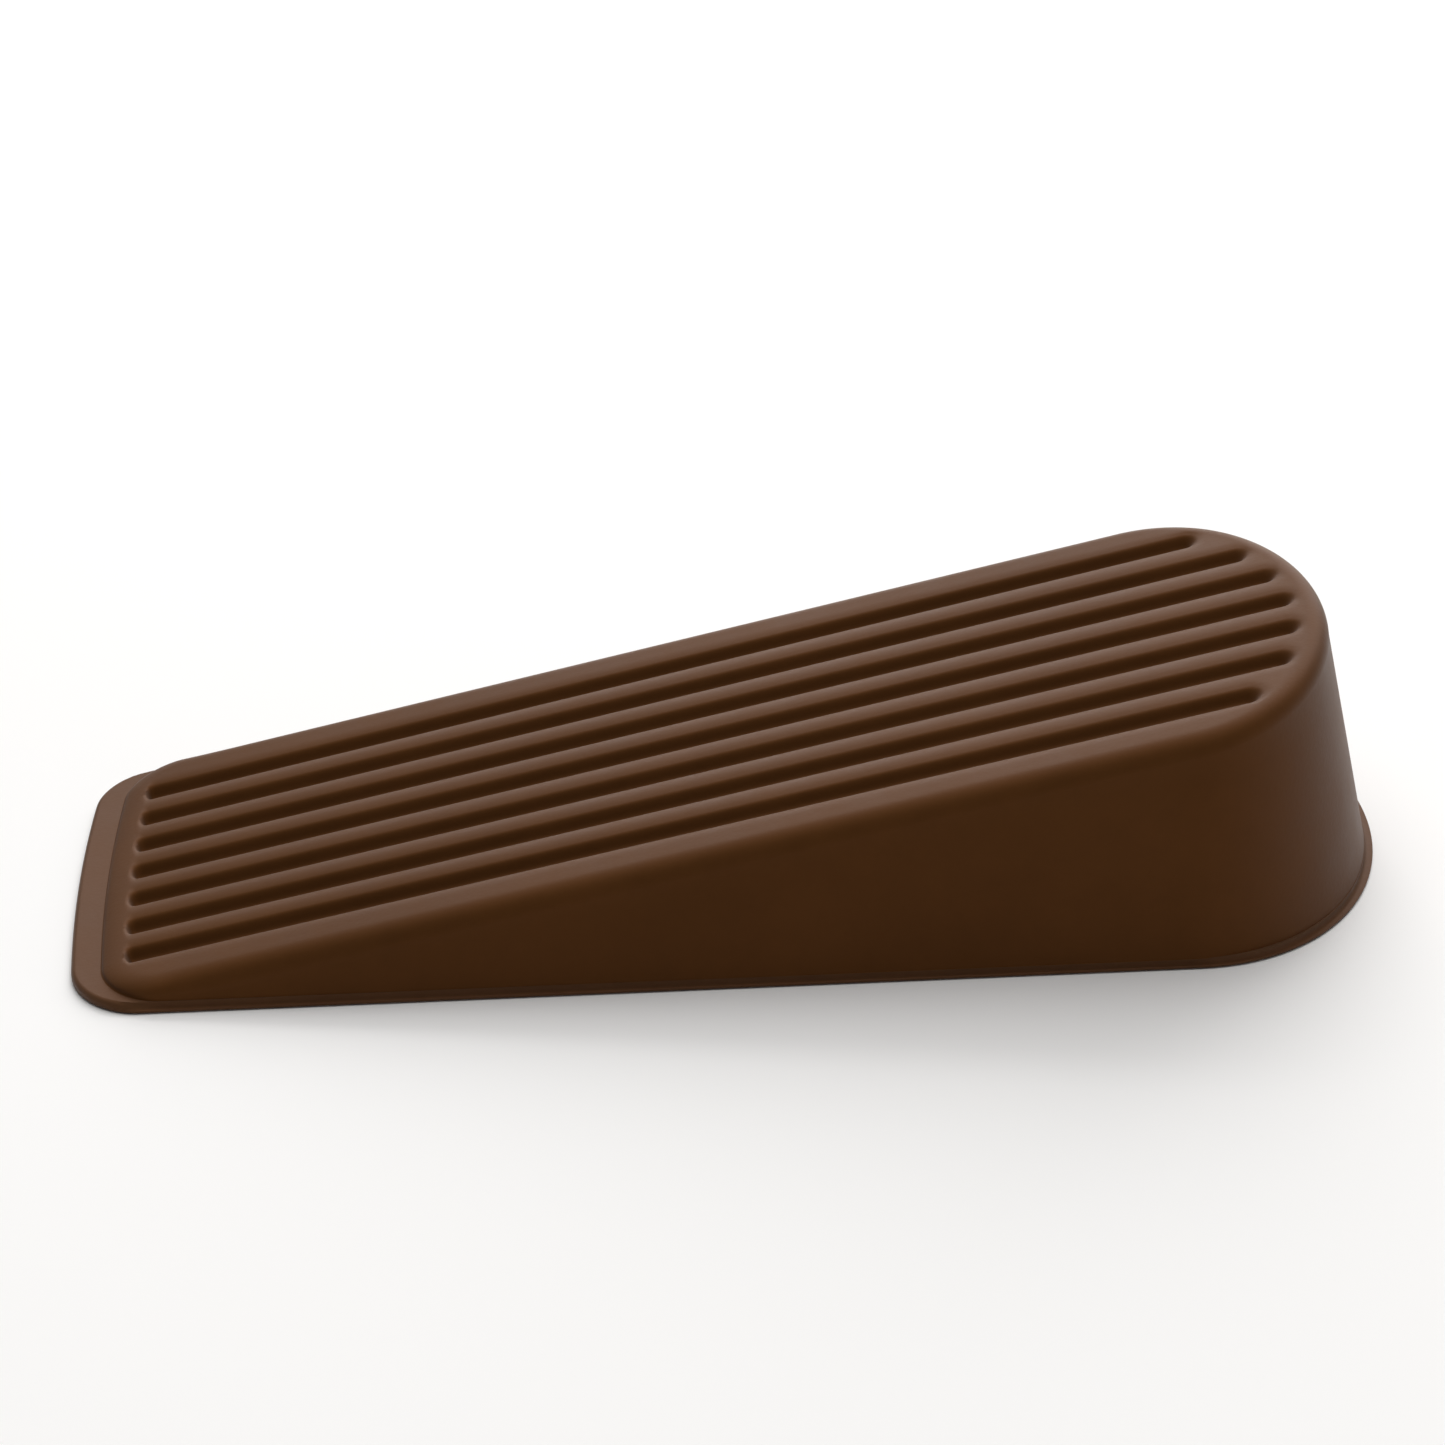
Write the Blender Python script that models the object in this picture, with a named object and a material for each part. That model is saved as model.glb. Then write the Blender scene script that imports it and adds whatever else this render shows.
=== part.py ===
"""Rubber door wedge: a ribbed, hollow upper moulding on a thin anti-slip sole.

The part stands on its sole. The origin is at the bottom centre of its box, X runs from the thin
toe to the tall round heel, Y across, and Z up. The whole part is symmetric about the XZ plane.
"""

from math import cos, pi, radians, tan

import bmesh
import bpy
import numpy as np
from mathutils import Vector

# Driving dimensions, in metres.
LENGTH = 0.127
GAP = 0.0003  # clearance between the two mouldings where they meet

# The sole: its plan tapers, so the widths are those the straight sides would reach at the ends.
SOLE_TOE_WIDTH = 0.0430
SOLE_HEEL_WIDTH = 0.0522
SOLE_CORNER = 0.0066  # radius of the toe's corners in plan
SOLE_BOW = 0.0011  # how far the toe's front edge bulges
SOLE_THICKNESS = 0.0010
SOLE_EDGE = 0.0003  # rounding of the sole's upper edge
FLOOR_EDGE = 0.0002  # rounding of the edge on the floor
HEEL_DEPTH = 0.0212  # length of the half ellipse that rounds the heel

# The upper's foot, where its walls meet the sole.
TONGUE = 0.0031  # how far the sole sticks out in front of the upper
TOE_LIP = 0.0005  # how far it sticks out beside the upper at the toe
SIDE_LIP = 0.0003  # the same along the heel's sides
HEEL_LIP = 0.00095  # the same behind the heel
UPPER_CORNER = 0.0055
LEAST_CORNER = 0.0020  # of the rings set in from the upper's foot
UPPER_BOW = 0.0010

# The upper's ramp, walls and rim.
FRONT_HEIGHT = 0.00155  # height of the ramp's plane over the foot of the front wall
BACK_HEIGHT = 0.02685  # height of the same plane at the back of the part
FRONT_LEAN = radians(32)
SIDE_DRAFT = radians(9.6)
HEEL_DRAFT = radians(12.4)
RIM_RADIUS = 0.0021
RIM_SHARE = 0.75  # the most of a low wall's height that the rim may take, as an ellipse

# Grip grooves along the ramp.
GROOVES = 7
GROOVE_PITCH = 0.00509  # at mid-length
GROOVE_FAN = 0.0325  # how much further apart the grooves are at the heel, and closer at the toe
GROOVE_RADIUS = 0.00105
TOE_LIFT = 0.0005  # height of the grooves' axes over the ramp at the toe, where it is thin
HEEL_LIFT = 0.00004  # the same at the heel
GROOVE_START = 0.0022  # from the foot of the front wall to the tips of the grooves
GROOVE_MARGIN = 0.0008  # from the rim's inner edge to the tips at the heel

# The hollow inside the upper and the ribs that cross it.
WALL = 0.0032
ROOF = 0.0036
HOLLOW_START = 0.034  # from the tip of the toe
MOUTH = 0.0018  # height of the open mouth below the ribs, which the sole's plug fills
RIB = 0.0020
LONG_RIB_PITCH = 0.0110
CROSS_RIB_PITCH = 0.0142

# Tread grooves across the underside.
TREAD_PITCH = 0.0062
TREAD_RADIUS = 0.0006
TREAD_DROP = 0.00003  # depth of the tread grooves' axes under the floor
TREAD_MARGIN = 0.0055

UPPER_COLOR = (0.085, 0.029, 0.0044)
SOLE_COLOR = (0.090, 0.043, 0.021)
RUBBER_ROUGHNESS = 0.6

TOE_X = -LENGTH / 2
HEEL_X = LENGTH / 2
FOOT_Z = SOLE_THICKNESS + GAP
FOOT_X = TOE_X + TONGUE
SLOPE = (BACK_HEIGHT - FRONT_HEIGHT) / (HEEL_X - FOOT_X)


def ramp_height(x):
    """Height of the ramp's plane at x."""
    return FRONT_HEIGHT + SLOPE * (x - FOOT_X)


def plan_outline(toe_x, heel_x, toe_width, heel_width, corner, bow, heel_depth):
    """Half-ellipse heel, tapering sides, round toe corners and a bowed front, as one closed ring."""
    half = toe_width / 2
    heel_turn = np.linspace(0, pi / 2, 17)
    corner_turn = np.linspace(0, pi / 2, 7)
    side_x = np.linspace(heel_x - heel_depth, toe_x + corner, 9)[1:-1]
    front_y = np.linspace(half - corner, 0, 5)[1:]
    x = np.concatenate([
        heel_x - heel_depth + heel_depth * np.cos(heel_turn),
        side_x,
        toe_x + corner - corner * np.sin(corner_turn),
        np.full(front_y.shape, toe_x),
    ])
    y = np.concatenate([
        half * np.sin(heel_turn),
        np.full(side_x.shape, half),
        half - corner + corner * np.cos(corner_turn),
        front_y,
    ])
    near_toe = np.clip(1 - (x - toe_x) / (3 * corner), 0, 1)
    x = x + bow * (y / half) ** 2 * near_toe
    along = (x - toe_x) / (heel_x - toe_x)
    y = y * (1 + (heel_width / toe_width - 1) * along)
    return np.column_stack([np.append(x, x[-2:0:-1]), np.append(y, -y[-2:0:-1])])


def outward(ring):
    """Unit normals of a counterclockwise ring, pointing out of it."""
    along = np.roll(ring, -1, axis=0) - np.roll(ring, 1, axis=0)
    normal = np.column_stack([along[:, 1], -along[:, 0]])
    return normal / np.linalg.norm(normal, axis=1, keepdims=True)


def upper_outline(inset=0.0, toe_x=FOOT_X):
    """Plan of the upper at its foot, or of a ring set in from it by inset."""
    corner = max(UPPER_CORNER - inset, LEAST_CORNER)
    along = (toe_x - FOOT_X) / (HEEL_X - FOOT_X)
    heel_width = SOLE_HEEL_WIDTH - 2 * (SIDE_LIP + inset)
    foot_width = SOLE_TOE_WIDTH - 2 * (TOE_LIP + inset)
    toe_width = foot_width + (heel_width - foot_width) * along
    back = HEEL_X - HEEL_LIP - inset
    return plan_outline(toe_x, back, toe_width, heel_width, corner, UPPER_BOW, HEEL_DEPTH - inset)


def wall_lean(normal):
    """Lean of the wall, as a ratio, from the side draft round to the front's or the heel's."""
    end = np.where(normal[:, 0] > 0, tan(HEEL_DRAFT), tan(FRONT_LEAN))
    return tan(SIDE_DRAFT) + (end - tan(SIDE_DRAFT)) * normal[:, 0] ** 2


def wall_top(ring, normal, lean, foot_z, drop):
    """Height at which a leaning wall reaches the ramp's plane lowered by drop."""
    tilt = SLOPE * normal[:, 0] * lean
    return (ramp_height(ring[:, 0]) - drop + tilt * foot_z) / (1 + tilt)


def upper_rings():
    """Rings of the upper's skin, from its foot up the drafted wall and over the rim."""
    foot = upper_outline()
    normal = outward(foot)
    lean = wall_lean(normal)
    rim = np.minimum(RIM_RADIUS, RIM_SHARE * (ramp_height(foot[:, 0]) - FOOT_Z))
    top = wall_top(foot, normal, lean, FOOT_Z, rim)
    inset = (top - FOOT_Z) * lean
    rings = [np.column_stack([foot, np.full(len(foot), FOOT_Z)])]
    rings.append(np.column_stack([foot - normal * inset[:, None], top]))
    for turn in np.linspace(0, pi / 2, 6)[1:]:
        ring = foot - normal * (inset + RIM_RADIUS * (1 - cos(turn)))[:, None]
        height = ramp_height(ring[:, 0]) - rim * (1 - np.sin(turn))
        rings.append(np.column_stack([ring, height]))
    return rings


def hollow_plan():
    """Plan of the hollow at the foot, its normals, and the lean of its walls."""
    plan = upper_outline(WALL, TOE_X + HOLLOW_START)
    normal = outward(plan)
    return plan, normal, np.minimum(wall_lean(normal), tan(HEEL_DRAFT))


def hollow_ring(height, clearance=0.0):
    """The hollow's leaning wall at a height, or a ring that clears it."""
    plan, normal, lean = hollow_plan()
    inset = (height - FOOT_Z) * lean + clearance
    return np.column_stack([plan - normal * inset[:, None], np.broadcast_to(height, len(plan))])


def hollow_rings():
    """Rings of the hollow, which follows the walls and the ramp at a set thickness."""
    plan, normal, lean = hollow_plan()
    roof = wall_top(plan, normal, lean, FOOT_Z, ROOF)
    return [hollow_ring(FOOT_Z - SOLE_THICKNESS), hollow_ring(roof)]


def sole_outline():
    """Plan of the sole's edge."""
    return plan_outline(TOE_X, HEEL_X, SOLE_TOE_WIDTH, SOLE_HEEL_WIDTH, SOLE_CORNER, SOLE_BOW,
                        HEEL_DEPTH)


def sole_rings():
    """Rings of the sole, from the floor round its edge, over the plate and up the plug."""
    edge = sole_outline()
    normal = outward(edge)
    soft = SOLE_EDGE * (1 - cos(pi / 4))
    steps = [
        (FLOOR_EDGE, 0.0),
        (0.0, FLOOR_EDGE),
        (0.0, SOLE_THICKNESS - SOLE_EDGE),
        (soft, SOLE_THICKNESS - soft),
        (SOLE_EDGE, SOLE_THICKNESS),
    ]
    rings = [np.column_stack([edge - normal * inset, np.full(len(edge), z)]) for inset, z in steps]
    plug_top = FOOT_Z + MOUTH - GAP
    return rings + [hollow_ring(z, GAP) for z in (SOLE_THICKNESS, plug_top)]


def new_object(name, bm, collection):
    """Turn a bmesh into an object of the given collection."""
    mesh = bpy.data.meshes.new(name)
    bm.to_mesh(mesh)
    bm.free()
    item = bpy.data.objects.new(name, mesh)
    collection.objects.link(item)
    return item


def loft(name, rings, collection):
    """Closed body through rings that have the same number of points, flat at both ends."""
    bm = bmesh.new()
    loops = [[bm.verts.new(point) for point in ring] for ring in rings]
    count = len(loops[0])
    for low, high in zip(loops, loops[1:]):
        for i in range(count):
            j = (i + 1) % count
            bm.faces.new((low[i], low[j], high[j], high[i]))
    bm.faces.new(loops[0][::-1])
    bm.faces.new(loops[-1])
    return new_object(name, bm, collection)


def capsule(name, start, end, radius, collection):
    """Round-ended bar from start to end: a sphere whose halves are pulled apart."""
    reach = Vector(end) - Vector(start)
    bm = bmesh.new()
    bmesh.ops.create_uvsphere(bm, u_segments=12, v_segments=7, radius=radius)
    for vert in bm.verts:
        if vert.co.z > 0:
            vert.co.z += reach.length
    bar = new_object(name, bm, collection)
    bar.location = start
    bar.rotation_euler = reach.to_track_quat("Z", "Y").to_euler()
    return bar


def slab(name, centre, size, collection):
    """Box with the given centre and sides."""
    bm = bmesh.new()
    bmesh.ops.create_cube(bm, size=1)
    bmesh.ops.scale(bm, vec=size, verts=bm.verts)
    item = new_object(name, bm, collection)
    item.location = centre
    return item


def cut(item, cutter):
    """Take the cutter's volume out of the item."""
    modifier = item.modifiers.new(cutter.name, "BOOLEAN")
    modifier.operation = "DIFFERENCE"
    modifier.solver = "EXACT"
    modifier.object = cutter


def as_cutter(item):
    """Mark an object as one that only cuts."""
    item.hide_render = True
    item.display_type = "WIRE"
    return item


def rubber(name, color, roughness):
    """Plain rubber material."""
    material = bpy.data.materials.new(name)
    material.use_nodes = True
    shader = material.node_tree.nodes["Principled BSDF"]
    shader.inputs["Base Color"].default_value = (*color, 1.0)
    shader.inputs["Roughness"].default_value = roughness
    shader.inputs["Metallic"].default_value = 0.0
    return material


def groove_stop(crest):
    """Curve inside the rim's round heel on which the grooves' end centres lie, by rising y."""
    inner = crest[:, :2] - outward(crest[:, :2]) * (GROOVE_MARGIN + GROOVE_RADIUS)
    heel = inner[crest[:, 0] > HEEL_X - HEEL_DEPTH]
    return heel[np.argsort(heel[:, 1])]


def groove_fan(x):
    """How much further apart than their pitch the grooves are at x."""
    return 1 + GROOVE_FAN * x / HEEL_X


def cut_grip_grooves(upper, crest, cutters):
    """Round grooves along the ramp that fan out to the heel and stop short of the rim."""
    stop = groove_stop(crest)
    first = FOOT_X + GROOVE_START + GROOVE_RADIUS
    for index in range(GROOVES):
        y = GROOVE_PITCH * (index - (GROOVES - 1) / 2)
        last = float(np.interp(y, stop[:, 1] / groove_fan(stop[:, 0]), stop[:, 0]))
        start = (first, y * groove_fan(first), ramp_height(first) + TOE_LIFT)
        end = (last, y * groove_fan(last), ramp_height(last) + HEEL_LIFT)
        cut(upper, as_cutter(capsule(f"groove_{index}", start, end, GROOVE_RADIUS, cutters)))


def hollow_cutter(cutters):
    """The hollow as a cutter, already divided by the long and cross ribs."""
    hollow = as_cutter(loft("hollow", hollow_rings(), cutters))
    bottom = FOOT_Z + MOUTH
    middle = bottom + BACK_HEIGHT / 2
    for index in (-1, 0, 1):
        centre = (0, index * LONG_RIB_PITCH, middle)
        cut(hollow, as_cutter(slab(f"long_rib_{index + 1}", centre, (LENGTH, RIB, BACK_HEIGHT), cutters)))
    first = TOE_X + HOLLOW_START + CROSS_RIB_PITCH
    for index, x in enumerate(np.arange(first, HEEL_X - CROSS_RIB_PITCH, CROSS_RIB_PITCH)):
        size = (RIB, SOLE_HEEL_WIDTH, BACK_HEIGHT)
        cut(hollow, as_cutter(slab(f"cross_rib_{index}", (x, 0, middle), size, cutters)))
    return hollow


def make_upper(parts, cutters):
    """The ribbed upper moulding."""
    rings = upper_rings()
    upper = loft("ribbed_upper", rings, parts)
    cut(upper, hollow_cutter(cutters))
    cut_grip_grooves(upper, rings[-1], cutters)
    upper.data.materials.append(rubber("upper_rubber", UPPER_COLOR, RUBBER_ROUGHNESS))


def half_width_at(x):
    """Half the sole's width at x, with its round heel."""
    side = sole_outline()
    side = side[side[:, 1] >= 0]
    side = side[np.argsort(side[:, 0])]
    return float(np.interp(x, side[:, 0], side[:, 1]))


def make_sole(parts, cutters):
    """The sole: toe tongue, lip, plug and the tread under it."""
    sole = loft("grip_sole", sole_rings(), parts)
    for index, x in enumerate(np.arange(TOE_X + TREAD_PITCH, HEEL_X - TREAD_PITCH / 2, TREAD_PITCH)):
        half = half_width_at(x) - TREAD_MARGIN
        ends = ((x, -half, -TREAD_DROP), (x, half, -TREAD_DROP))
        cut(sole, as_cutter(capsule(f"tread_{index}", *ends, TREAD_RADIUS, cutters)))
    sole.data.materials.append(rubber("sole_rubber", SOLE_COLOR, RUBBER_ROUGHNESS))


def main():
    for item in list(bpy.data.objects):
        bpy.data.objects.remove(item, do_unlink=True)
    parts = bpy.data.collections.new("door_wedge")
    cutters = bpy.data.collections.new("cutters")
    for collection in (parts, cutters):
        bpy.context.scene.collection.children.link(collection)
    make_upper(parts, cutters)
    make_sole(parts, cutters)


main()
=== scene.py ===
"""Looks of the rubber door wedge: fine surfaces and moulded-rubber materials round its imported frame.

Everything is in metres in the part's own frame: the origin is under the middle of the wedge, X runs from
the thin toe to the tall round heel, Y across, and Z up from the floor.
"""

import bmesh
import bpy
import numpy as np
from mathutils import Matrix, Vector


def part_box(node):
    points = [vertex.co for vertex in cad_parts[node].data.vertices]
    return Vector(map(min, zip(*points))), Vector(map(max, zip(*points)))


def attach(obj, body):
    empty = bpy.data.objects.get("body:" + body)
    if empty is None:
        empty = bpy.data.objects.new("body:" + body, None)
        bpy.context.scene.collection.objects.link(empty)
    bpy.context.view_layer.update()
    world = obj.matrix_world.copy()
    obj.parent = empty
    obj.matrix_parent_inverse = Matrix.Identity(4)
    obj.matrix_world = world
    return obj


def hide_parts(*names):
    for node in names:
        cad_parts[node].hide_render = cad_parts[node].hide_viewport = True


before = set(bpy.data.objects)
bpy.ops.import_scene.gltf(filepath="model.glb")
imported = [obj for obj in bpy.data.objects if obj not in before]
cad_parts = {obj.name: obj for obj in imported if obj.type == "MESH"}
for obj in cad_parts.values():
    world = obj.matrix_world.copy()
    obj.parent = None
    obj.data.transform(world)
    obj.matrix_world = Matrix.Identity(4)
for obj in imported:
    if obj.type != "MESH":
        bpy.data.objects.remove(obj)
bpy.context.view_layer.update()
SOLE_LOW, SOLE_HIGH = (np.array(corner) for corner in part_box("grip_sole"))
UPPER_LOW, UPPER_HIGH = (np.array(corner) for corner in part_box("ribbed_upper"))

bl_info = {
    "name": "Rubber Door Wedge",
    "version": (1, 0, 0),
    "blender": (4, 5, 0),
    "location": "View3D > Sidebar > Door Wedge",
    "description": "Builds a ribbed rubber door wedge, its sole and a small studio stage",
    "category": "Object",
}

# Places that come from the frame.
TOE_X, HEEL_X = SOLE_LOW[0], SOLE_HIGH[0]
LENGTH = HEEL_X - TOE_X
FOOT_X, BACK_X = UPPER_LOW[0], UPPER_HIGH[0]
SOLE_TOP = 0.0010  # height of the sole's plate, on which the upper's foot stands

# Plan of the wedge. The sides taper, so widths are those the straight sides would reach at the ends.
SOLE_TOE_WIDTH = 0.0430
SOLE_HEEL_WIDTH = 0.0522
UPPER_TOE_WIDTH = 0.0420
UPPER_HEEL_WIDTH = 0.0516
HEEL_DEPTH = 0.0212  # length of the half ellipse that rounds the heel

# Heights of the ramp's plane over the foot of the front wall and at the back of the sole.
FRONT_HEIGHT = 0.00155
BACK_HEIGHT = 0.02685
SLOPE = (BACK_HEIGHT - FRONT_HEIGHT) / (HEEL_X - FOOT_X)

# Leans of the walls, as sideways travel for each unit of height.
SIDE_LEAN = 0.169
HEEL_LEAN = 0.214
FRONT_LEAN = 0.625

GROOVES = 7
OUTLINE_POINTS = 4001
WELD = 1e-6  # distance under which surface points are one
LEAST_FILLET = 0.00005  # fillet of the side walls, which the sole's flare carries on
FLOOR_DROP = 0.00005  # how far the stage floor lies under the sole

# How finely the curved steps of the skins are cut.
FILLET_POINTS = 7
WALL_POINTS = 9
RIM_POINTS = 15
FLOOR_EDGE_POINTS = 4
FLARE_POINTS = 13
CAP_POINTS = 97

# Places along the ramp, from 0 at the heel to 1 at the toe, between which its points are evenly spaced.
HEEL_PART, TOE_PART = 0.24, 0.955
HEEL_PART_POINTS, MIDDLE_POINTS, TOE_PART_POINTS = 96, 62, 24

# Values of the wear-and-shade layer, which is positive on rubbed edges and negative in hollows, where it
# paints shade.
RIM_WEAR = 0.3
RIB_WEAR = 0.45
LIP_WEAR = 0.6


# --------------------------------------------------------------------------------------------------
# Plan curves
# --------------------------------------------------------------------------------------------------


def taper_and_bow(x, y, plan):
    """Narrow a straight-sided plan towards the toe and bulge its front edge.

    y grows in proportion to the distance from the toe, from 1 to heel_width / toe_width, and x moves
    back by bow times the square of y over the half width, fading out over three corner radii.
    """
    half = plan["toe_width"] / 2
    fade = np.clip(1 - (x - plan["toe_x"]) / (3 * plan["corner"]), 0, 1)
    along = (x - plan["toe_x"]) / (plan["heel_x"] - plan["toe_x"])
    bowed = x + plan["bow"] * (y / half) ** 2 * fade
    return bowed, y * (1 + (plan["heel_width"] / plan["toe_width"] - 1) * along)


def half_outline(plan, count=OUTLINE_POINTS):
    """Half of a plan's edge as a dense curve, from the heel's tip along +Y to the middle of the toe.

    A quarter ellipse, a straight side, a quarter circle and a straight front, each given points in
    proportion to its length, then tapered and bowed.
    """
    half = plan["toe_width"] / 2
    corner, depth = plan["corner"], plan["heel_depth"]
    side_end = plan["toe_x"] + corner
    side_start = plan["heel_x"] - depth
    heel_length = 1.28 * max(depth, half)  # near enough to a quarter ellipse's, to share out the points
    lengths = np.array([heel_length, side_start - side_end, corner * np.pi / 2, half - corner])
    joins = np.concatenate([[0], np.cumsum(lengths) / lengths.sum()])
    t = np.linspace(0, 1, count)
    part = np.clip(np.searchsorted(joins, t, side="right") - 1, 0, 3)
    local = (t - joins[part]) / (joins[part + 1] - joins[part])
    turn = local * np.pi / 2
    x = np.choose(part, [
        side_start + depth * np.cos(turn),
        side_start + (side_end - side_start) * local,
        side_end - corner * np.sin(turn),
        np.full(count, plan["toe_x"]),
    ])
    y = np.choose(part, [
        half * np.sin(turn),
        np.full(count, half),
        half - corner + corner * np.cos(turn),
        (half - corner) * (1 - local),
    ])
    return np.column_stack(taper_and_bow(x, y, plan))


def outward(curve):
    """Unit normals of a half outline that runs counterclockwise, square to it at both its ends."""
    along = np.gradient(curve, axis=0)
    along[0], along[-1] = (0, 1), (0, -1)
    normal = np.column_stack([along[:, 1], -along[:, 0]])
    return normal / np.linalg.norm(normal, axis=1, keepdims=True)


def pick(values, index):
    """Values of a dense curve at fractional indices."""
    base = np.arange(len(values))
    if values.ndim == 1:
        return np.interp(index, base, values)
    return np.column_stack([np.interp(index, base, column) for column in values.T])


def ramp_height(x):
    """Height of the ramp's plane at x."""
    return FRONT_HEIGHT + SLOPE * (x - FOOT_X)


# --------------------------------------------------------------------------------------------------
# Meshes
# --------------------------------------------------------------------------------------------------


def grid_faces(rows, columns, start=0):
    """Quads of a grid whose points are stored row by row from the given index."""
    index = start + np.arange(rows * columns).reshape(rows, columns)
    corners = [index[:-1, :-1], index[:-1, 1:], index[1:, 1:], index[1:, :-1]]
    return np.stack([corner.ravel() for corner in corners], axis=1)


def ring_faces(rings, count, start=0):
    """Quads between closed rings of count points, stored ring after ring from the given index."""
    index = start + np.arange(rings * count).reshape(rings, count)
    index = np.concatenate([index, index[:, :1]], axis=1)
    corners = [index[:-1, :-1], index[:-1, 1:], index[1:, 1:], index[1:, :-1]]
    return np.stack([corner.ravel() for corner in corners], axis=1)


def closed_piece(name, patches, weld):
    """One closed object from surface patches, given as (points, faces, wear and painted shade) with shared
    edges.

    The patches are joined, points closer than weld are merged, and the faces are turned outwards.
    """
    points, faces, wear, start = [], [], [], 0
    for patch_points, patch_faces, patch_wear_and_shade in patches:
        points.append(patch_points.reshape(-1, 3))
        faces.append(patch_faces + start)
        wear.append(np.broadcast_to(patch_wear_and_shade, patch_points.shape[:-1]).ravel())
        start += len(points[-1])
    mesh = bpy.data.meshes.new(name)
    mesh.from_pydata(np.concatenate(points), [], np.concatenate(faces))
    # The wear-and-shade layer is positive on rubbed edges and negative where shade is painted into hollows.
    layer = mesh.attributes.new("wear", "FLOAT", "POINT")
    layer.data.foreach_set("value", np.concatenate(wear).astype(np.float32))
    bm = bmesh.new()
    bm.from_mesh(mesh)
    bmesh.ops.remove_doubles(bm, verts=bm.verts, dist=weld)
    bmesh.ops.dissolve_degenerate(bm, edges=bm.edges, dist=weld / 10)
    bmesh.ops.recalc_face_normals(bm, faces=bm.faces)
    loose = [edge for edge in bm.edges if len(edge.link_faces) != 2]
    bm.to_mesh(mesh)
    bm.free()
    if loose:
        raise RuntimeError(f"{name} isn't closed: {len(loose)} edges")
    mesh.shade_smooth()
    mesh.set_sharp_from_angle(angle=np.radians(50))
    item = bpy.data.objects.new(name, mesh)
    bpy.context.scene.collection.objects.link(item)
    return item


def smooth_step(value):
    """0 below 0, 1 above 1, and an S curve between."""
    value = np.clip(value, 0, 1)
    return value * value * (3 - 2 * value)


def fill_plate(ring, across, sides, side_rows):
    """Surface inside a closed ring, as one grid of straight rows and a crescent on each side of it.

    The ring holds the heads of the rows, then one side, the tails of the rows in reverse, and the
    other side. Row points are the weighted means of head and tail with the weights in across, and a
    crescent's points are evenly spaced between the outermost row and its side.
    Returns the three grids of points.
    """
    rows = (len(ring) - 2 * sides) // 2
    heads = ring[:rows]
    tails = ring[rows + sides:2 * rows + sides][::-1]
    last_side, first_side = ring[rows:rows + sides], ring[2 * rows + sides:]
    weight = across[None, :, None]
    middle = heads[:, None] * (1 - weight) + tails[:, None] * weight
    step = np.linspace(0, 1, side_rows + 1)[:, None, None]
    last_edge = np.vstack([heads[-1:], last_side, tails[-1:]])
    first_edge = np.vstack([heads[:1], first_side[::-1], tails[:1]])
    last = middle[-1] + (last_edge - middle[-1]) * step
    first = first_edge + (middle[0] - first_edge) * step
    return middle, last, first


def plate_patches(grids):
    """The grids of a plate as patches without wear."""
    return [(grid, grid_faces(*grid.shape[:2]), 0.0) for grid in grids]


# --------------------------------------------------------------------------------------------------
# The ribbed upper
# --------------------------------------------------------------------------------------------------


def upper_plan(settings):
    """Plan of the upper's foot."""
    return {
        "toe_x": FOOT_X,
        "heel_x": BACK_X,
        "toe_width": UPPER_TOE_WIDTH,
        "heel_width": UPPER_HEEL_WIDTH,
        "corner": settings.corner,
        "bow": settings.bow,
        "heel_depth": HEEL_DEPTH,
    }


def upper_skin(settings):
    """Half of the upper's skin, from the fillet on the sole up the wall and over the rim.

    A quarter circle flares out onto the sole, the wall leans in, and the rim turns it into the ramp: a
    quarter circle, or an ellipse of the same width where the wall is low. The lean goes from the side's
    to the front's or the heel's with the square of the normal's x, and the rim starts where the wall
    meets the ramp's plane lowered by its height. Returns points as steps by outline points, and the
    wear of each step.
    """
    foot = half_outline(upper_plan(settings))
    normal = outward(foot)
    end_lean = np.where(normal[:, 0] > 0, HEEL_LEAN, FRONT_LEAN)
    lean = SIDE_LEAN + (end_lean - SIDE_LEAN) * normal[:, 0] ** 2
    room = ramp_height(foot[:, 0]) - SOLE_TOP
    rim = np.minimum(settings.rim_radius, settings.rim_share * room)
    front = smooth_step(-normal[:, 0])
    fillet = LEAST_FILLET + front * np.minimum(settings.front_fillet, settings.fillet_share * room)
    tilt = SLOPE * normal[:, 0] * lean
    top = (ramp_height(foot[:, 0]) - rim + tilt * UPPER_LOW[2]) / (1 + tilt)
    low = SOLE_TOP + fillet
    top = np.maximum(top, low)

    flare_turn = np.linspace(0, np.pi / 2, FILLET_POINTS)[:, None]
    share = np.linspace(0, 1, WALL_POINTS)[1:, None]
    rim_turn = np.linspace(0, np.pi / 2, RIM_POINTS)[1:, None]
    flare_height = SOLE_TOP + fillet * (1 - np.cos(flare_turn)) - settings.sink * np.cos(flare_turn)
    wall_height = low + (top - low) * share
    inset = np.concatenate([
        lean * (flare_height - UPPER_LOW[2]) - fillet * (1 - np.sin(flare_turn)),
        lean * (wall_height - UPPER_LOW[2]),
        lean * (top - UPPER_LOW[2]) + settings.rim_radius * (1 - np.cos(rim_turn)),
    ])
    plan = foot - normal * inset[..., None]
    rim_height = ramp_height(plan[-len(rim_turn):, :, 0]) - rim * (1 - np.sin(rim_turn))
    height = np.concatenate([flare_height, wall_height, rim_height])
    wear = np.concatenate([0 * flare_turn, 0 * share, RIM_WEAR * np.sin(2 * rim_turn)])
    return np.concatenate([plan, height[..., None]], axis=2), wear


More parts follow.
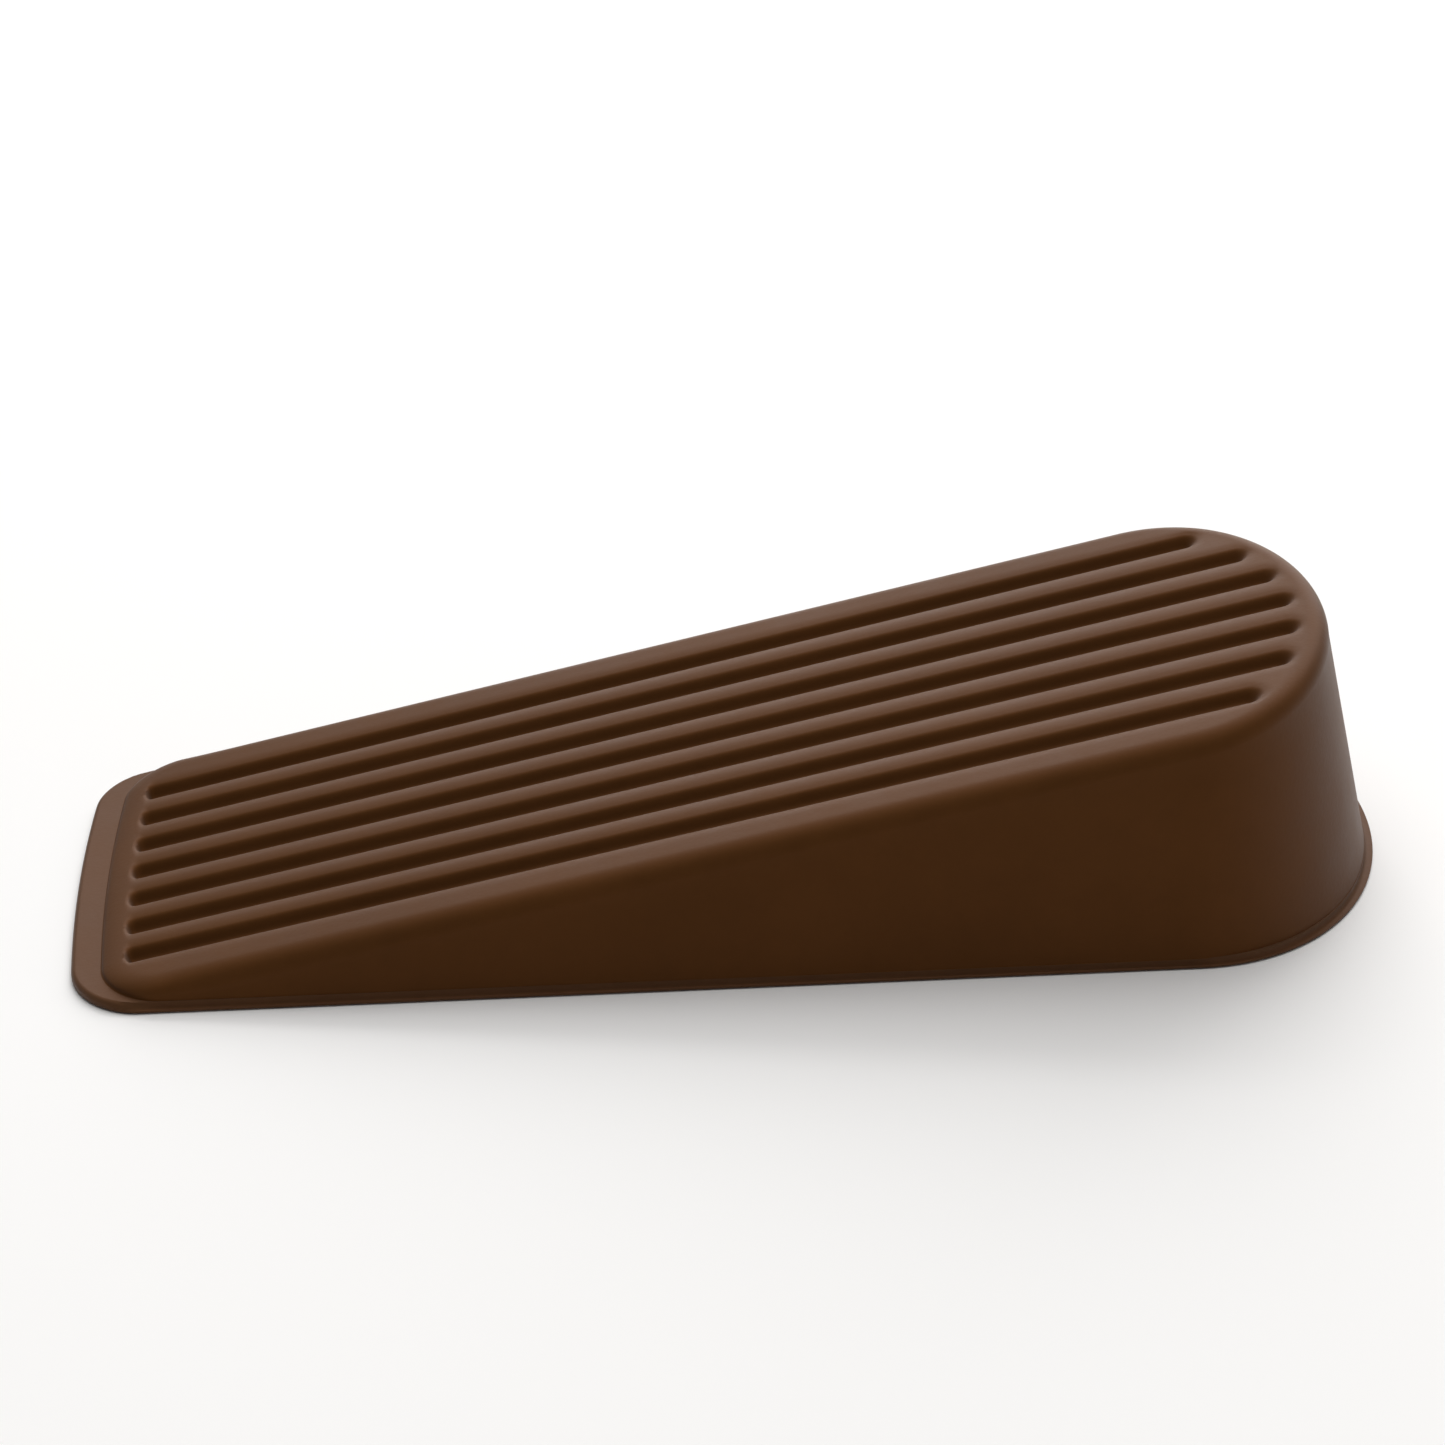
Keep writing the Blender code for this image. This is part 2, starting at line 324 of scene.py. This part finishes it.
def row_heights(settings):
    """Places of the ramp's rows across Y, close together on the grooves' walls."""
    half_pitch = settings.groove_pitch / 2
    fine = np.linspace(0, settings.groove_half_width, 11)
    coarse = np.linspace(settings.groove_half_width, half_pitch, 4)[1:]
    offsets = np.concatenate([fine, coarse])
    lanes = groove_lanes(settings)
    places = (lanes[:, None] + np.concatenate([-offsets, offsets])).ravel()
    edge = lanes[-1] + settings.groove_half_width
    return np.unique(np.round(places[np.abs(places) <= edge + 1e-9], 7))


def groove_lanes(settings):
    """Y of each groove's middle."""
    return settings.groove_pitch * (np.arange(GROOVES) - (GROOVES - 1) / 2)


def groove_fan(x, settings):
    """How much further apart than their pitch the grooves are at x, growing evenly to the heel."""
    return 1 + settings.groove_fan * x / HEEL_X


def ring_indices(crest, rows, across, fan):
    """Where a ring's points lie on the dense half outline, and on which side of it.

    Row ends are found on the heel and on the toe by y over the fan there. Side points share their x
    with the points of the outermost row. Returns fractional indices and signs in the order that
    fill_plate takes.
    """
    order = np.arange(len(crest))
    lane = crest[:, 1] / fan
    wide = np.nonzero(lane >= rows[-1])[0]
    heel = np.interp(np.abs(rows), lane[:wide[0] + 1], order[:wide[0] + 1])
    toe = np.interp(np.abs(rows), lane[wide[-1]:][::-1], order[wide[-1]:][::-1])
    side = crest[wide[0]:wide[-1] + 1]
    heel_x, toe_x = pick(crest[:, 0], heel[-1]), pick(crest[:, 0], toe[-1])
    x = heel_x + (toe_x - heel_x) * across[1:-1]
    along = np.interp(-x, -side[:, 0], order[wide[0]:wide[-1] + 1])
    index = np.concatenate([heel, along, toe[::-1], along[::-1]])
    ones = np.ones(len(along))
    sign = np.concatenate([np.sign(rows), ones, np.sign(rows[::-1]), -ones])
    return index, sign


def pick_rings(skin, index, sign):
    """Full rings of the skin at the given places of its half outline."""
    rings = np.stack([pick(step, index) for step in skin])
    rings[..., 1] *= sign
    return rings


def groove_depth(points, stops, settings):
    """Depth under the ramp's plane, from the distance to the nearest groove's centre line.

    Each centre line runs from the groove's start to its stop, and the lines fan out to the heel. The
    groove is a raised cosine in that distance from a narrow flat floor to its shoulder, and each rib is
    crowned with a parabola. Returns the depth, and 1 on the groove's floor falling to 0 on its shoulder.
    """
    nearest = np.full(points.shape[:-1], np.inf)
    for lane, stop in zip(groove_lanes(settings), stops):
        bow = settings.groove_bow * (2 * lane / UPPER_TOE_WIDTH) ** 2
        start = FOOT_X + bow + settings.groove_start
        beyond = points[..., 0] - np.clip(points[..., 0], start, stop)
        aside = points[..., 1] - lane * groove_fan(points[..., 0], settings)
        nearest = np.minimum(nearest, np.hypot(beyond, aside))
    floor, shoulder = settings.groove_floor, settings.groove_half_width
    wall = np.clip((nearest - floor) / (shoulder - floor), 0, 1)
    groove = (1 + np.cos(np.pi * wall)) / 2
    half_rib = settings.groove_pitch / 2 - shoulder
    crown = np.clip((settings.groove_pitch / 2 - nearest) / half_rib, 0, 1) ** 2
    return settings.groove_depth * groove + settings.rib_crown * crown * (1 - groove), groove


def upper_patches(settings):
    """All surfaces of the upper: skin, grooved ramp and flat underside."""
    skin, skin_wear = upper_skin(settings)
    rows = row_heights(settings)
    across = np.concatenate([
        np.linspace(0, HEEL_PART, HEEL_PART_POINTS),
        np.linspace(HEEL_PART, TOE_PART, MIDDLE_POINTS)[1:],
        np.linspace(TOE_PART, 1, TOE_PART_POINTS)[1:],
    ])
    index, sign = ring_indices(skin[-1], rows, across, groove_fan(skin[-1][:, 0], settings))
    rings = pick_rings(skin, index, sign)
    patches = [(rings, ring_faces(len(rings), len(index)), skin_wear)]

    sides = len(across) - 2
    heads = rings[-1][:len(rows)]
    lanes = groove_lanes(settings)
    crest = skin[-1][:, :2]
    inner = (crest - outward(crest) * settings.groove_margin)[crest[:, 0] > HEEL_X - HEEL_DEPTH]
    stops = np.interp(np.abs(lanes), inner[:, 1] / groove_fan(inner[:, 0], settings), inner[:, 0])
    ramp = fill_plate(rings[-1], across, sides, settings.side_rows)
    middle, last, first = ramp
    edge = np.minimum(middle[..., 0] - middle[:, -1:, 0], middle[:, :1, 0] - middle[..., 0])
    fade = smooth_step(edge / settings.crown_fade)
    share = np.linspace(1, 0, settings.side_rows + 1)[:, None]
    fades = [fade, fade[-1] * share, fade[0] * share[::-1]]
    for grid, keep in zip(ramp, fades):
        depth, groove = groove_depth(grid, stops, settings)
        grid[..., 2] = ramp_height(grid[..., 0]) - depth * keep
        # Rib tops get rubbed wear. The grooves get negative values, which paint shade into them.
        wear = RIB_WEAR * keep * (1 - groove) - groove
        patches.append((grid, grid_faces(*grid.shape[:2]), wear))
    underside = fill_plate(rings[0], across, sides, settings.side_rows)
    return patches + plate_patches(underside)


# --------------------------------------------------------------------------------------------------
# The grip sole
# --------------------------------------------------------------------------------------------------


def sole_plan(settings):
    """Plan of the sole's edge."""
    return {
        "toe_x": TOE_X,
        "heel_x": HEEL_X,
        "toe_width": SOLE_TOE_WIDTH,
        "heel_width": SOLE_HEEL_WIDTH,
        "corner": settings.corner,
        "bow": settings.bow,
        "heel_depth": HEEL_DEPTH,
    }


def sole_edge(settings):
    """Half of the sole's edge, from the floor round to its top, as steps by outline points.

    A small quarter circle leaves the floor and the edge rises straight. At the toe it then turns over
    in a convex quarter ellipse. Along the sides and heel a concave superellipse of the lip's width
    runs up to the upper's foot instead, and the two are mixed by the distance from the toe.
    """
    edge = half_outline(sole_plan(settings))
    normal = outward(edge)
    along = (edge[:, 0] - TOE_X) / LENGTH
    toe = 1 - smooth_step((edge[:, 0] - FOOT_X) / settings.tongue_fade)
    toe_lip, heel_lip = SOLE_TOE_WIDTH - UPPER_TOE_WIDTH, SOLE_HEEL_WIDTH - UPPER_HEEL_WIDTH
    side_lip = toe_lip * (1 - along) + heel_lip * along
    back_lip = (HEEL_X - BACK_X) * np.maximum(normal[:, 0], 0)
    lip = np.maximum(side_lip / 2, back_lip) - settings.seam_step
    rise = settings.heel_rise + (settings.toe_rise - settings.heel_rise) * toe

    floor_turn = np.linspace(0, np.pi / 2, FLOOR_EDGE_POINTS)[:, None]
    turn = np.linspace(0, np.pi / 2, FLARE_POINTS)[:, None]
    low = settings.floor_edge
    round_in = settings.toe_edge * (1 - np.cos(turn))
    round_up = np.sin(turn)
    flare_in = lip * np.sin(turn) ** settings.flare_power
    flare_up = 1 - np.clip(np.cos(turn), 0, 1) ** settings.flare_power
    inset = np.concatenate([
        np.broadcast_to(low * (1 - np.sin(floor_turn)), (FLOOR_EDGE_POINTS, len(edge))),
        round_in * toe + flare_in * (1 - toe),
    ])
    height = np.concatenate([
        np.broadcast_to(low * (1 - np.cos(floor_turn)), (FLOOR_EDGE_POINTS, len(edge))),
        rise + (SOLE_TOP - rise) * (round_up * toe + flare_up * (1 - toe)),
    ])
    plan = edge - normal * inset[..., None]
    # Negative values on the floor edge paint the shadow where the sole meets the floor. The flare above
    # gets rubbed wear.
    wear = np.concatenate([-np.cos(floor_turn / 2), LIP_WEAR * np.sin(2 * turn)])
    return np.concatenate([plan, height[..., None]], axis=2), wear


def tread_places(settings):
    """X of each tread groove's middle, with a little over one pitch left free at the heel."""
    pitch = settings.tread_pitch
    return np.arange(TOE_X + pitch, HEEL_X - pitch * 1.1, pitch)


def cross_ring(edge, columns, across):
    """Indices and signs of a ring whose rows run across the wedge at each x of columns.

    The heads lie on the +Y side and the tails on the -Y side, both from heel to toe. The caps at the
    heel and the toe share their y with the points of the outermost rows.
    """
    order = np.arange(len(edge))
    side = np.interp(-columns, -edge[:, 0], order)
    widths = pick(edge[:, 1], side[[0, -1]])
    y = 1 - 2 * across[1:-1]
    heel_part = slice(0, int(side[0]) + 2)
    heel = np.interp(np.abs(y) * widths[0], edge[heel_part, 1], order[heel_part])
    toe_part = slice(int(side[-1]), None)
    toe = np.interp(np.abs(y) * widths[1], edge[toe_part, 1][::-1], order[toe_part][::-1])
    ones = np.ones(len(columns))
    index = np.concatenate([side, toe, side[::-1], heel])
    sign = np.concatenate([ones, np.sign(y), -ones, -np.sign(y)])
    return index, sign


def tread_depth(grid, settings):
    """Height of the tread grooves' roofs over the floor: raised cosines across round-ended lines."""
    along = (grid[..., 0] - TOE_X) / LENGTH
    half = 0.5 * (SOLE_TOE_WIDTH + (SOLE_HEEL_WIDTH - SOLE_TOE_WIDTH) * along)
    heel = np.clip((grid[..., 0] - HEEL_X + HEEL_DEPTH) / HEEL_DEPTH, 0, 1)
    reach = half * np.sqrt(1 - heel ** 2) - settings.tread_margin
    places = tread_places(settings)
    aside = np.abs(grid[..., 0][..., None] - places).min(axis=-1)
    beyond = np.clip(np.abs(grid[..., 1]) - reach, 0, None)
    away = np.clip(np.hypot(aside, beyond) / settings.tread_half_width, 0, 1)
    return settings.tread_depth * (1 + np.cos(np.pi * away)) / 2


def sole_patches(settings):
    """All surfaces of the sole: its edge, its flat top, and its treaded underside."""
    # The edge's layer holds painted shadow along the floor and rubbed wear on the lip.
    edge, edge_wear = sole_edge(settings)
    places = tread_places(settings)
    fine = np.linspace(0, settings.tread_half_width, 6)
    coarse = np.linspace(settings.tread_half_width, settings.tread_pitch / 2, 4)[1:]
    offsets = np.concatenate([fine, coarse])
    columns = np.unique(np.round(places[:, None] + np.concatenate([-offsets, offsets]), 7))[::-1]
    across = 0.5 * (1 - np.cos(np.pi * np.linspace(0, 1, CAP_POINTS)))
    index, sign = cross_ring(edge[0], columns, across)
    rings = pick_rings(edge, index, sign)
    patches = [(rings, ring_faces(len(rings), len(index)), edge_wear)]
    sides = len(across) - 2
    underside = fill_plate(rings[0], across, sides, settings.cap_rows)
    for grid in underside:
        grid[..., 2] = tread_depth(grid, settings)
        # Painted shade: the deeper the tread groove, the darker its colour.
        wear = -grid[..., 2] / settings.tread_depth
        patches.append((grid, grid_faces(*grid.shape[:2]), wear))
    top = fill_plate(rings[-1], across, sides, settings.cap_rows)
    return patches + plate_patches(top)


# --------------------------------------------------------------------------------------------------
# Materials
# --------------------------------------------------------------------------------------------------


class Amount:
    """A socket's number, on which Python's arithmetic adds Math nodes."""

    def __init__(self, sheet, socket):
        self.sheet = sheet
        self.socket = socket

    def _math(self, operation, first, second):
        return self.sheet.node("ShaderNodeMath", {"operation": operation}, {0: first, 1: second})

    def __add__(self, other):
        return self._math("ADD", self, other)

    __radd__ = __add__

    def __sub__(self, other):
        return self._math("SUBTRACT", self, other)

    def __rsub__(self, other):
        return self._math("SUBTRACT", other, self)

    def __mul__(self, other):
        return self._math("MULTIPLY", self, other)

    __rmul__ = __mul__

    def above(self, limit):
        """The part of the value over the limit, or 0."""
        return self._math("MAXIMUM", self - limit, 0.0)


class NodeSheet:
    """A material's node tree, with one method that adds any node."""

    def __init__(self, name):
        self.material = bpy.data.materials.new(name)
        self.material.use_nodes = True
        self.tree = self.material.node_tree
        self.tree.nodes.clear()

    def node(self, kind, settings=None, inputs=None, output=0):
        """Add a node, set it up, fill or link its inputs, and give back one of its outputs."""
        node = self.tree.nodes.new(kind)
        for name, value in (settings or {}).items():
            if name == "stops":
                set_stops(node.color_ramp, value)
            else:
                setattr(node, name, value)
        for name, value in (inputs or {}).items():
            if isinstance(value, Amount):
                self.tree.links.new(value.socket, node.inputs[name])
            else:
                node.inputs[name].default_value = value
        return Amount(self, node.outputs[output])

    def noise(self, place, size, detail, roughness=0.5):
        """Noise between 0 and 1 with blotches of about the given size in metres."""
        inputs = {"Vector": place, "Scale": 1 / size, "Detail": detail, "Roughness": roughness}
        return self.node("ShaderNodeTexNoise", {"noise_dimensions": "3D"}, inputs)

    def mix(self, factor, first, second):
        """Blend of two colours."""
        settings = {"data_type": "RGBA", "blend_type": "MIX"}
        return self.node("ShaderNodeMix", settings, {0: factor, 6: first, 7: second}, output=2)

    def finish(self, surface):
        """Use a shader as the material's surface."""
        output = self.tree.nodes.new("ShaderNodeOutputMaterial")
        self.tree.links.new(surface.socket, output.inputs["Surface"])
        return self.material


def set_stops(ramp, stops):
    """Give a colour ramp the stops (position, grey)."""
    while len(ramp.elements) < len(stops):
        ramp.elements.new(0.5)
    for element, (position, grey) in zip(ramp.elements, stops):
        element.position = position
        element.color = (grey, grey, grey, 1)


def scaled(color, factor):
    """A colour made lighter or darker, with alpha 1."""
    return (*(min(1.0, channel * factor) for channel in color[:3]), 1.0)


def moulded_rubber(name, piece_color, settings):
    """Matte brown rubber: cloudy bloom, fine moulded grain, painted shade in the grooves, and rubbed edges.

    The base colour mixes a deep and a light brown by a slow and a fine noise. Where the wear-and-shade
    layer is negative it paints shade into the grooves, tread and floor edge, and where it is positive it
    rubs the edges lighter and smoother.
    """
    sheet = NodeSheet(name)
    place = sheet.node("ShaderNodeTexCoord", output=3)
    wear = sheet.node("ShaderNodeAttribute", {"attribute_name": "wear"}, output=2)
    cloud = sheet.noise(place, 0.026, 3.0)
    mottle = sheet.noise(place, 0.0042, 4.0, 0.6)
    grain = sheet.noise(place, 0.00042, 2.0)
    speck = sheet.noise(place, 0.0011, 3.0, 0.7)
    blend = sheet.node(
        "ShaderNodeValToRGB",
        {"stops": [(0.30, 0.0), (0.70, 1.0)]},
        {"Fac": cloud * 0.55 + mottle * 0.45},
    )
    rubbed = wear.above(0.0) * sheet.node(
        "ShaderNodeValToRGB",
        {"stops": [(0.38, 0.15), (0.66, 1.0)]},
        {"Fac": mottle * 0.6 + speck * 0.4},
    )
    painted_shade = (0.0 - wear).above(0.0)
    body = sheet.mix(blend, scaled(piece_color, 0.88), scaled(piece_color, 1.12))
    # Painted shade: hollows and the floor edge darken towards 0.55 of the colour.
    body = sheet.mix(painted_shade * settings.groove_shade, body, scaled(piece_color, 0.55))
    body = sheet.mix(rubbed * settings.edge_wear, body, (*settings.worn_color, 1.0))
    roughness = settings.roughness + (mottle - 0.5) * 0.16 + (grain - 0.5) * 0.08 - rubbed * 0.07
    relief = grain * 0.55 + speck * 0.30 + mottle * 0.35
    bump = sheet.node(
        "ShaderNodeBump",
        {},
        {"Strength": settings.grain_strength, "Distance": settings.grain_height, "Height": relief},
    )
    surface = sheet.node("ShaderNodeBsdfPrincipled", {}, {
        "Base Color": body,
        "Roughness": roughness,
        "Metallic": 0.0,
        "Specular IOR Level": settings.specular,
        "Specular Tint": (*settings.reflection_color, 1.0),
        "Sheen Weight": settings.sheen,
        "Sheen Roughness": 0.45,
        "Normal": bump,
    })
    return sheet.finish(surface)


def plain_surface(name, color, roughness):
    """Evenly coloured matte surface for the stage."""
    sheet = NodeSheet(name)
    inputs = {"Base Color": (*color, 1.0), "Roughness": roughness, "Specular IOR Level": 0.2}
    return sheet.finish(sheet.node("ShaderNodeBsdfPrincipled", {}, inputs))


# --------------------------------------------------------------------------------------------------
# Settings
# --------------------------------------------------------------------------------------------------


def length(name, description, default, least=0.0):
    """A length in metres."""
    return bpy.props.FloatProperty(
        name=name, description=description, default=default, min=least,
        precision=5, subtype="DISTANCE", unit="LENGTH",
    )


def factor(name, description, default):
    """A share from 0 to 1."""
    return bpy.props.FloatProperty(
        name=name, description=description, default=default, min=0.0, max=1.0, subtype="FACTOR"
    )


def color(name, description, default):
    """A linear colour."""
    return bpy.props.FloatVectorProperty(
        name=name, description=description, default=default, size=3, min=0.0, max=1.0, subtype="COLOR"
    )


class WedgeUpperSettings(bpy.types.PropertyGroup):
    corner: length("Toe corner", "Radius of the toe's corners in plan", 0.0055)
    bow: length("Toe bow", "How far the front wall bulges", 0.0010)
    rim_radius: length("Rim radius", "Rounding between the walls and the ramp", 0.0021)
    rim_share: factor("Rim share", "Most of a low wall's height that the rim may take", 0.75)
    front_fillet: length(
        "Front fillet", "Most of the fillet where the front wall meets the tongue", 0.00012
    )
    fillet_share: factor("Fillet share", "Share of the front wall's height that the fillet may take", 0.4)
    sink: length("Sink", "How far the fillet's thin edge is let into the sole", 0.00003)
    groove_pitch: length("Groove pitch", "Distance between the grip grooves at mid-length", 0.00509)
    groove_fan: factor("Groove fan", "How much further apart the grooves are at the heel", 0.0325)
    groove_start: length(
        "Groove start", "From the foot of the front wall to the grooves' first centres", 0.0032
    )
    groove_bow: length("Groove bow", "How far the outer grooves start behind the middle one", 0.0003)
    groove_margin: length("Groove margin", "From the rim's inner edge to the grooves' last centres", 0.0020)
    groove_half_width: length("Groove half width", "From a groove's middle to its shoulder", 0.0015)
    groove_floor: length("Groove floor", "Half the width of a groove's flat bottom", 0.00025)
    groove_depth: length("Groove depth", "Depth of the grip grooves", 0.0012)
    rib_crown: length("Rib crown", "How far the ribs' shoulders drop below their middles", 0.00012)
    crown_fade: length(
        "Crown fade", "Distance over which the grooves and crowns fade out at the rim", 0.0006
    )
    side_rows: bpy.props.IntProperty(
        name="Side rows", description="Rows between the outer grooves and the rim", default=5, min=1
    )


class WedgeSoleSettings(bpy.types.PropertyGroup):
    corner: length("Toe corner", "Radius of the tongue's corners in plan", 0.0066)
    bow: length("Toe bow", "How far the tongue's front edge bulges", 0.0011)
    floor_edge: length("Floor edge", "Rounding of the edge on the floor", 0.0002)
    toe_edge: length("Toe edge", "Rounding of the tongue's upper edge", 0.0005)
    toe_rise: length("Toe rise", "Height of the tongue's straight edge", 0.0005)
    heel_rise: length("Heel rise", "Height of the lip's straight edge along the sides and heel", 0.00025)
    flare_power: factor(
        "Flare power", "Power of sine and cosine in the lip's flare: tighter when lower", 0.6
    )
    seam_step: length("Seam step", "How far the flare stays outside the foot of the walls", 0.00003)
    tongue_fade: length("Tongue fade", "Distance over which the tongue's edge turns into the lip's", 0.007)
    tread_pitch: length("Tread pitch", "Distance between the tread grooves", 0.0062)
    tread_half_width: length("Tread half width", "From a tread groove's middle to its edge", 0.0008)
    tread_depth: length("Tread depth", "Depth of the tread grooves", 0.0006)
    tread_margin: length("Tread margin", "From the sides to the ends of the tread grooves", 0.0055)
    cap_rows: bpy.props.IntProperty(
        name="Cap rows", description="Rows at the toe and the heel beyond the tread", default=12, min=1
    )


class WedgeRubberSettings(bpy.types.PropertyGroup):
    upper_color: color("Upper colour", "The upper rubber's own colour", (0.0810, 0.0310, 0.0080))
    # The sole's colour is its brown made lighter and greyer, as painted sheen on the tongue.
    sole_color_and_sheen: color("Sole colour", "The sole rubber's own colour", (0.0900, 0.0430, 0.0210))
    worn_color: color("Worn colour", "Colour of rubbed edges and rib tops", (0.100, 0.046, 0.016))
    roughness: factor("Roughness", "How matte the rubber is", 0.56)
    specular: factor("Specular", "Strength of the surface reflection", 0.22)
    reflection_color: color("Reflection colour", "Tint of straight-on reflections", (1.0, 0.35, 0.10))
    sheen: factor("Sheen", "Soft glow at grazing angles, from bloom on the rubber", 0.10)
    edge_wear: factor("Edge wear", "How much the edges are rubbed", 0.25)
    # Strength of the painted shade in the grooves, the tread and along the floor edge.
    groove_shade: factor("Groove shade", "How much darker the grooves are", 0.5)
    grain_strength: factor("Grain strength", "Strength of the moulded grain", 0.35)
    grain_height: length("Grain height", "Height of the moulded grain", 0.00005)


class WedgeStageSettings(bpy.types.PropertyGroup):
    floor_color: color("Floor colour", "Colour of the floor", (0.95, 0.95, 0.95))
    floor_size: length("Floor size", "Width of the square floor", 8.0)
    world_color: color("World colour", "Even light from all round", (1.0, 1.0, 1.0))
    world_strength: bpy.props.FloatProperty(
        name="World strength", description="Strength of the even light", default=0.11, min=0.0
    )
    azimuth: bpy.props.FloatProperty(
        name="Azimuth", description="Camera's turn round Z, from -Y",
        default=np.radians(-3.55), subtype="ANGLE",
    )
    elevation: bpy.props.FloatProperty(
        name="Elevation", description="Camera's height angle",
        default=np.radians(29.94), subtype="ANGLE",
    )
    roll: bpy.props.FloatProperty(
        name="Roll", description="Camera's turn about its own axis",
        default=np.radians(-1.62), subtype="ANGLE",
    )
    distance: length("Distance", "From the camera to the wedge", 0.3349)
    target_x: length("Target X", "X of the point that the camera looks at", -0.00016, -1.0)
    target_height: length("Target height", "Height of the point that the camera looks at", 0.01482)
    lens: bpy.props.FloatProperty(
        name="Lens", description="Focal length in millimetres",
        default=86.5, min=1.0, subtype="DISTANCE_CAMERA",
    )


SETTINGS = {
    "wedge_upper": WedgeUpperSettings,
    "wedge_sole": WedgeSoleSettings,
    "wedge_rubber": WedgeRubberSettings,
    "wedge_stage": WedgeStageSettings,
}


# --------------------------------------------------------------------------------------------------
# Operators
# --------------------------------------------------------------------------------------------------


def install(piece, node, material):
    """Let a finished piece stand for its node."""
    piece.data.materials.append(material)
    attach(piece, "root")
    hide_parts(node)


class WEDGE_OT_upper(bpy.types.Operator):
    """Build the ribbed upper: drafted walls, rounded rim and grooved ramp"""

    bl_idname = "wedge.upper"
    bl_label = "Build Upper"

    def execute(self, context):
        patches = upper_patches(context.scene.wedge_upper)
        piece = closed_piece("ribbed_upper_skin", patches, WELD)
        settings = context.scene.wedge_rubber
        material = moulded_rubber("upper_rubber", settings.upper_color, settings)
        install(piece, "ribbed_upper", material)
        return {"FINISHED"}


class WEDGE_OT_sole(bpy.types.Operator):
    """Build the grip sole: toe tongue, lip and tread"""

    bl_idname = "wedge.sole"
    bl_label = "Build Sole"

    def execute(self, context):
        piece = closed_piece("grip_sole_skin", sole_patches(context.scene.wedge_sole), WELD)
        settings = context.scene.wedge_rubber
        # The sole's colour carries painted sheen on top of its brown.
        material = moulded_rubber("sole_rubber", settings.sole_color_and_sheen, settings)
        install(piece, "grip_sole", material)
        return {"FINISHED"}


def add_softbox(name, place, aim, size, power, color):
    """Square area light at a place, turned to a point."""
    light = bpy.data.lights.new(name, "AREA")
    light.shape = "SQUARE"
    light.size = size
    light.energy = power
    light.color = color
    item = bpy.data.objects.new(name, light)
    item.location = place
    item.rotation_euler = (Vector(aim) - Vector(place)).to_track_quat("-Z", "Y").to_euler()
    bpy.context.scene.collection.objects.link(item)


def add_camera(settings):
    """Camera that looks at the wedge from an azimuth and elevation, with a roll about its own axis."""
    turn = Matrix.Rotation(settings.azimuth, 4, "Z")
    tilt = Matrix.Rotation(np.pi / 2 - settings.elevation, 4, "X")
    roll = Matrix.Rotation(settings.roll, 4, "Z")
    camera = bpy.data.cameras.new("camera")
    camera.lens = settings.lens
    camera.clip_start = 0.01
    item = bpy.data.objects.new("camera", camera)
    item.matrix_world = (
        Matrix.Translation((settings.target_x, 0, settings.target_height))
        @ turn @ tilt @ Matrix.Translation((0, 0, settings.distance)) @ roll
    )
    bpy.context.scene.collection.objects.link(item)
    bpy.context.scene.camera = item


class WEDGE_OT_stage(bpy.types.Operator):
    """Build the stage: pale floor, soft lights, even surroundings and camera"""

    bl_idname = "wedge.stage"
    bl_label = "Build Stage"

    def execute(self, context):
        settings = context.scene.wedge_stage
        side = np.linspace(-0.5, 0.5, 3) * settings.floor_size
        x, y = np.meshgrid(side, side)
        points = np.stack([x, y, np.full(x.shape, -FLOOR_DROP)], axis=-1).reshape(-1, 3)
        mesh = bpy.data.meshes.new("floor")
        mesh.from_pydata(points, [], grid_faces(*x.shape))
        floor = bpy.data.objects.new("floor", mesh)
        floor.data.materials.append(plain_surface("floor_matte", settings.floor_color, 0.6))
        context.scene.collection.objects.link(floor)

        world = bpy.data.worlds.new("studio")
        world.use_nodes = True
        background = world.node_tree.nodes["Background"]
        background.inputs["Color"].default_value = (*settings.world_color, 1.0)
        background.inputs["Strength"].default_value = settings.world_strength
        context.scene.world = world
        middle = (0.0, 0.0, 0.01)
        add_softbox("top_box", (0.10, 0.45, 1.60), middle, 2.00, 26.0, (1.0, 0.99, 0.98))
        add_softbox("back_box", (0.45, 1.80, 0.90), middle, 2.00, 36.0, (1.0, 0.98, 0.96))
        add_softbox("right_box", (1.25, -0.50, 0.22), middle, 0.40, 1.3, (1.0, 0.88, 0.72))
        add_camera(settings)
        context.scene.view_settings.view_transform = "Standard"
        return {"FINISHED"}


STEPS = (WEDGE_OT_upper, WEDGE_OT_sole, WEDGE_OT_stage)


class WEDGE_PT_panel(bpy.types.Panel):
    """The wedge's settings and build buttons"""

    bl_label = "Door Wedge"
    bl_idname = "WEDGE_PT_panel"
    bl_space_type = "VIEW_3D"
    bl_region_type = "UI"
    bl_category = "Door Wedge"

    def draw(self, context):
        for name, group in SETTINGS.items():
            box = self.layout.box()
            settings = getattr(context.scene, name)
            for setting in group.__annotations__:
                box.prop(settings, setting)
        for step in STEPS:
            self.layout.operator(step.bl_idname)


def register():
    for item in (*SETTINGS.values(), *STEPS, WEDGE_PT_panel):
        bpy.utils.register_class(item)
    for name, group in SETTINGS.items():
        setattr(bpy.types.Scene, name, bpy.props.PointerProperty(type=group))


def unregister():
    for name in SETTINGS:
        delattr(bpy.types.Scene, name)
    for item in (WEDGE_PT_panel, *reversed(STEPS), *reversed(SETTINGS.values())):
        bpy.utils.unregister_class(item)


def main():
    """Register everything, and build the wedge and its stage."""
    register()
    bpy.ops.wedge.upper()
    bpy.ops.wedge.sole()
    bpy.ops.wedge.stage()


if __name__ == "__main__":
    main()
